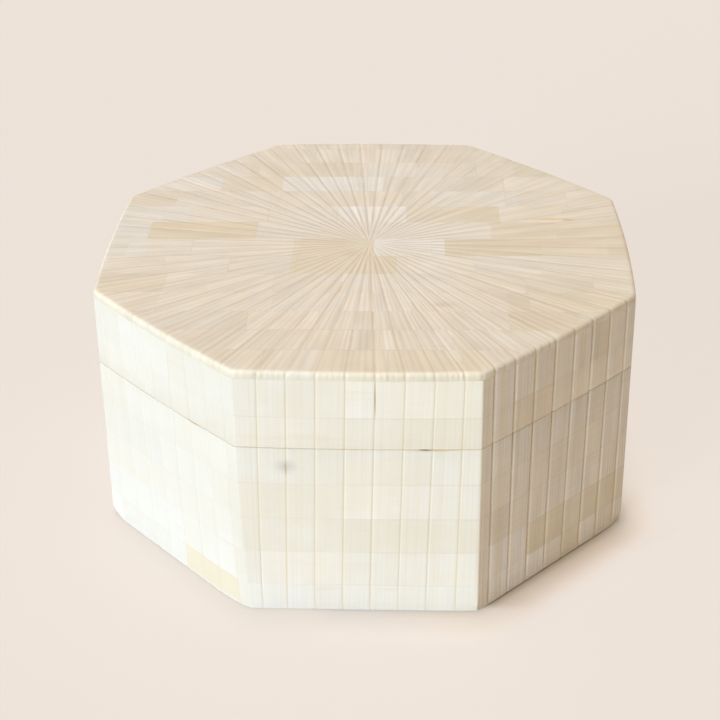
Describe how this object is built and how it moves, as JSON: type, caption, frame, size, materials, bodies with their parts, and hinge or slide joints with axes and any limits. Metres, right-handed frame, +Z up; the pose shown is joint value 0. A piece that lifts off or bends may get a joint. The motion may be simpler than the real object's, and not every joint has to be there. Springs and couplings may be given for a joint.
{
  "type": "octagonal lidded box",
  "caption": "Octagonal wooden keepsake box with a lift-off lid located by an inner lip, clad in bone tiles with grooved strips on the sides and a carved sunburst on the lid.",
  "frame": {"origin": "middle of the underside, on the surface that the box stands on", "axes": "+Z up, the way the lid lifts; the front side faces -Y; the bone rows of the lid run along X"},
  "size_m": [0.2, 0.2, 0.1],
  "materials": {
    "bone": "satin",
    "carcass_wood": "satin",
    "lip_wood": "satin",
    "felt": "matte",
    "lining": "matte"
  },
  "bodies": {
    "base": {"bottom_board": "carcass_wood", "base_felt": "felt", "floor_lining": "lining", "base_wall_front": "carcass_wood", "base_wall_front_right": "carcass_wood", "base_wall_right": "carcass_wood", "base_wall_back_right": "carcass_wood", "base_wall_back": "carcass_wood", "base_wall_back_left": "carcass_wood", "base_wall_left": "carcass_wood", "base_wall_front_left": "carcass_wood", "lip_front": "lip_wood", "lip_front_right": "lip_wood", "lip_right": "lip_wood", "lip_back_right": "lip_wood", "lip_back": "lip_wood", "lip_back_left": "lip_wood", "lip_left": "lip_wood", "lip_front_left": "lip_wood", "base_bone_front": "bone", "base_bone_front_right": "bone", "base_bone_right": "bone", "base_bone_back_right": "bone", "base_bone_back": "bone", "base_bone_back_left": "bone", "base_bone_left": "bone", "base_bone_front_left": "bone"},
    "lid": {"lid_top_board": "carcass_wood", "lid_wall_front": "carcass_wood", "lid_wall_front_right": "carcass_wood", "lid_wall_right": "carcass_wood", "lid_wall_back_right": "carcass_wood", "lid_wall_back": "carcass_wood", "lid_wall_back_left": "carcass_wood", "lid_wall_left": "carcass_wood", "lid_wall_front_left": "carcass_wood", "lid_bone_front": "bone", "lid_bone_front_right": "bone", "lid_bone_right": "bone", "lid_bone_back_right": "bone", "lid_bone_back": "bone", "lid_bone_back_left": "bone", "lid_bone_left": "bone", "lid_bone_front_left": "bone", "lid_top_row_01": "bone", "lid_top_row_02": "bone", "lid_top_row_03": "bone", "lid_top_row_04": "bone", "lid_top_row_05": "bone", "lid_top_row_06": "bone", "lid_top_row_07": "bone", "lid_top_row_08": "bone", "lid_top_row_09": "bone", "lid_top_row_10": "bone", "lid_top_row_11": "bone", "lid_top_row_12": "bone", "lid_top_row_13": "bone", "lid_top_row_14": "bone"}
  },
  "joints": [
    {"name": "lid_lift", "type": "slide", "parent": "base", "child": "lid", "axis": [0, 0, 1], "range_m": [0, 0.12]}
  ]
}
